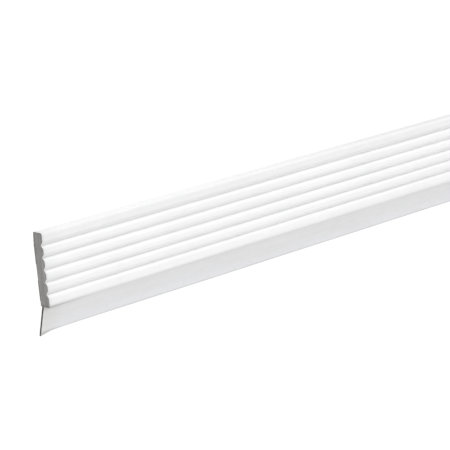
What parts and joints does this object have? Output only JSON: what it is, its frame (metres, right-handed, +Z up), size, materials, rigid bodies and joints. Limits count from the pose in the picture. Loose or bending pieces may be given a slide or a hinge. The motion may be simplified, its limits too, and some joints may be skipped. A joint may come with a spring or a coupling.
{
  "type": "door sweep",
  "caption": "Fluted rigid strip with a soft hanging fin, stuck across the foot of a door to close the gap above the threshold.",
  "frame": {"origin": "centre of the flat back face, half way along the strip, on the bare land between the two tapes", "axes": "+X along the strip, +Y out of the back towards the door, +Z up; the fluted front faces -Y"},
  "size_m": [0.9144, 0.0106, 0.0508],
  "materials": {
    "foamed_core": "fine closed cells, saw-cut at the ends",
    "white_cap": "satin, with faint lines along the extrusion",
    "soft_fin": "matt soft vinyl",
    "foam_tape": "closed-cell foam with a tacky face",
    "release_liner": "waxed paper"
  },
  "bodies": {
    "carrier": {"carrier_core": "foamed_core", "carrier_cap": "white_cap", "fin_anchor": "soft_fin", "upper_tape": "foam_tape", "lower_tape": "foam_tape"},
    "fin": {"fin_blade": "soft_fin"},
    "upper_liner": {"upper_liner": "release_liner"},
    "lower_liner": {"lower_liner": "release_liner"}
  },
  "joints": [
    {"name": "fin_flex", "type": "hinge", "parent": "carrier", "child": "fin", "pos_m": [0, -0.00133, -0.01758], "axis": [1, 0, 0], "range_deg": [-60, 40], "stiffness_Nm_per_rad": 0.25},
    {"name": "upper_liner_peel", "type": "slide", "parent": "carrier", "child": "upper_liner", "axis": [0, 1, 0], "range_m": [0, 0.025]},
    {"name": "lower_liner_peel", "type": "slide", "parent": "carrier", "child": "lower_liner", "axis": [0, 1, 0], "range_m": [0, 0.025]}
  ]
}
